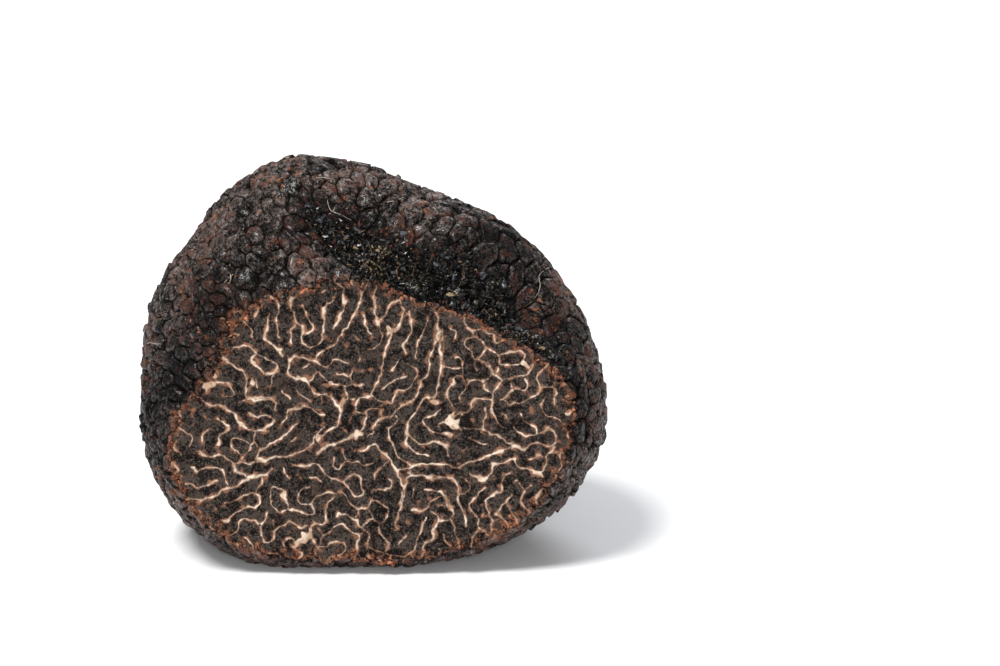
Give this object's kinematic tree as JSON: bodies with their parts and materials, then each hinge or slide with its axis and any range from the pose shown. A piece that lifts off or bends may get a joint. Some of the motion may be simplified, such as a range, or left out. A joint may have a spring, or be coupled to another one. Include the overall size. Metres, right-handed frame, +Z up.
{
  "type": "black truffle",
  "caption": "Cut black truffle: a rough lump covered in warts, with a flat sliced face, a fold filled with soil and a flattened underside to rest on.",
  "frame": {"origin": "on the surface that the truffle rests on, under the middle of its box", "axes": "+Z up, -Y out of the cut face towards the viewer, +X to the right of the cut face"},
  "size_m": [0.0627, 0.0417, 0.0509],
  "materials": {
    "truffle": "matte black-brown warty skin; the cut face is dark brown flesh with cream veins",
    "soil": "damp black granular soil"
  },
  "bodies": {
    "root": {"truffle": "truffle", "soil_in_fold": "soil"}
  },
  "joints": []
}
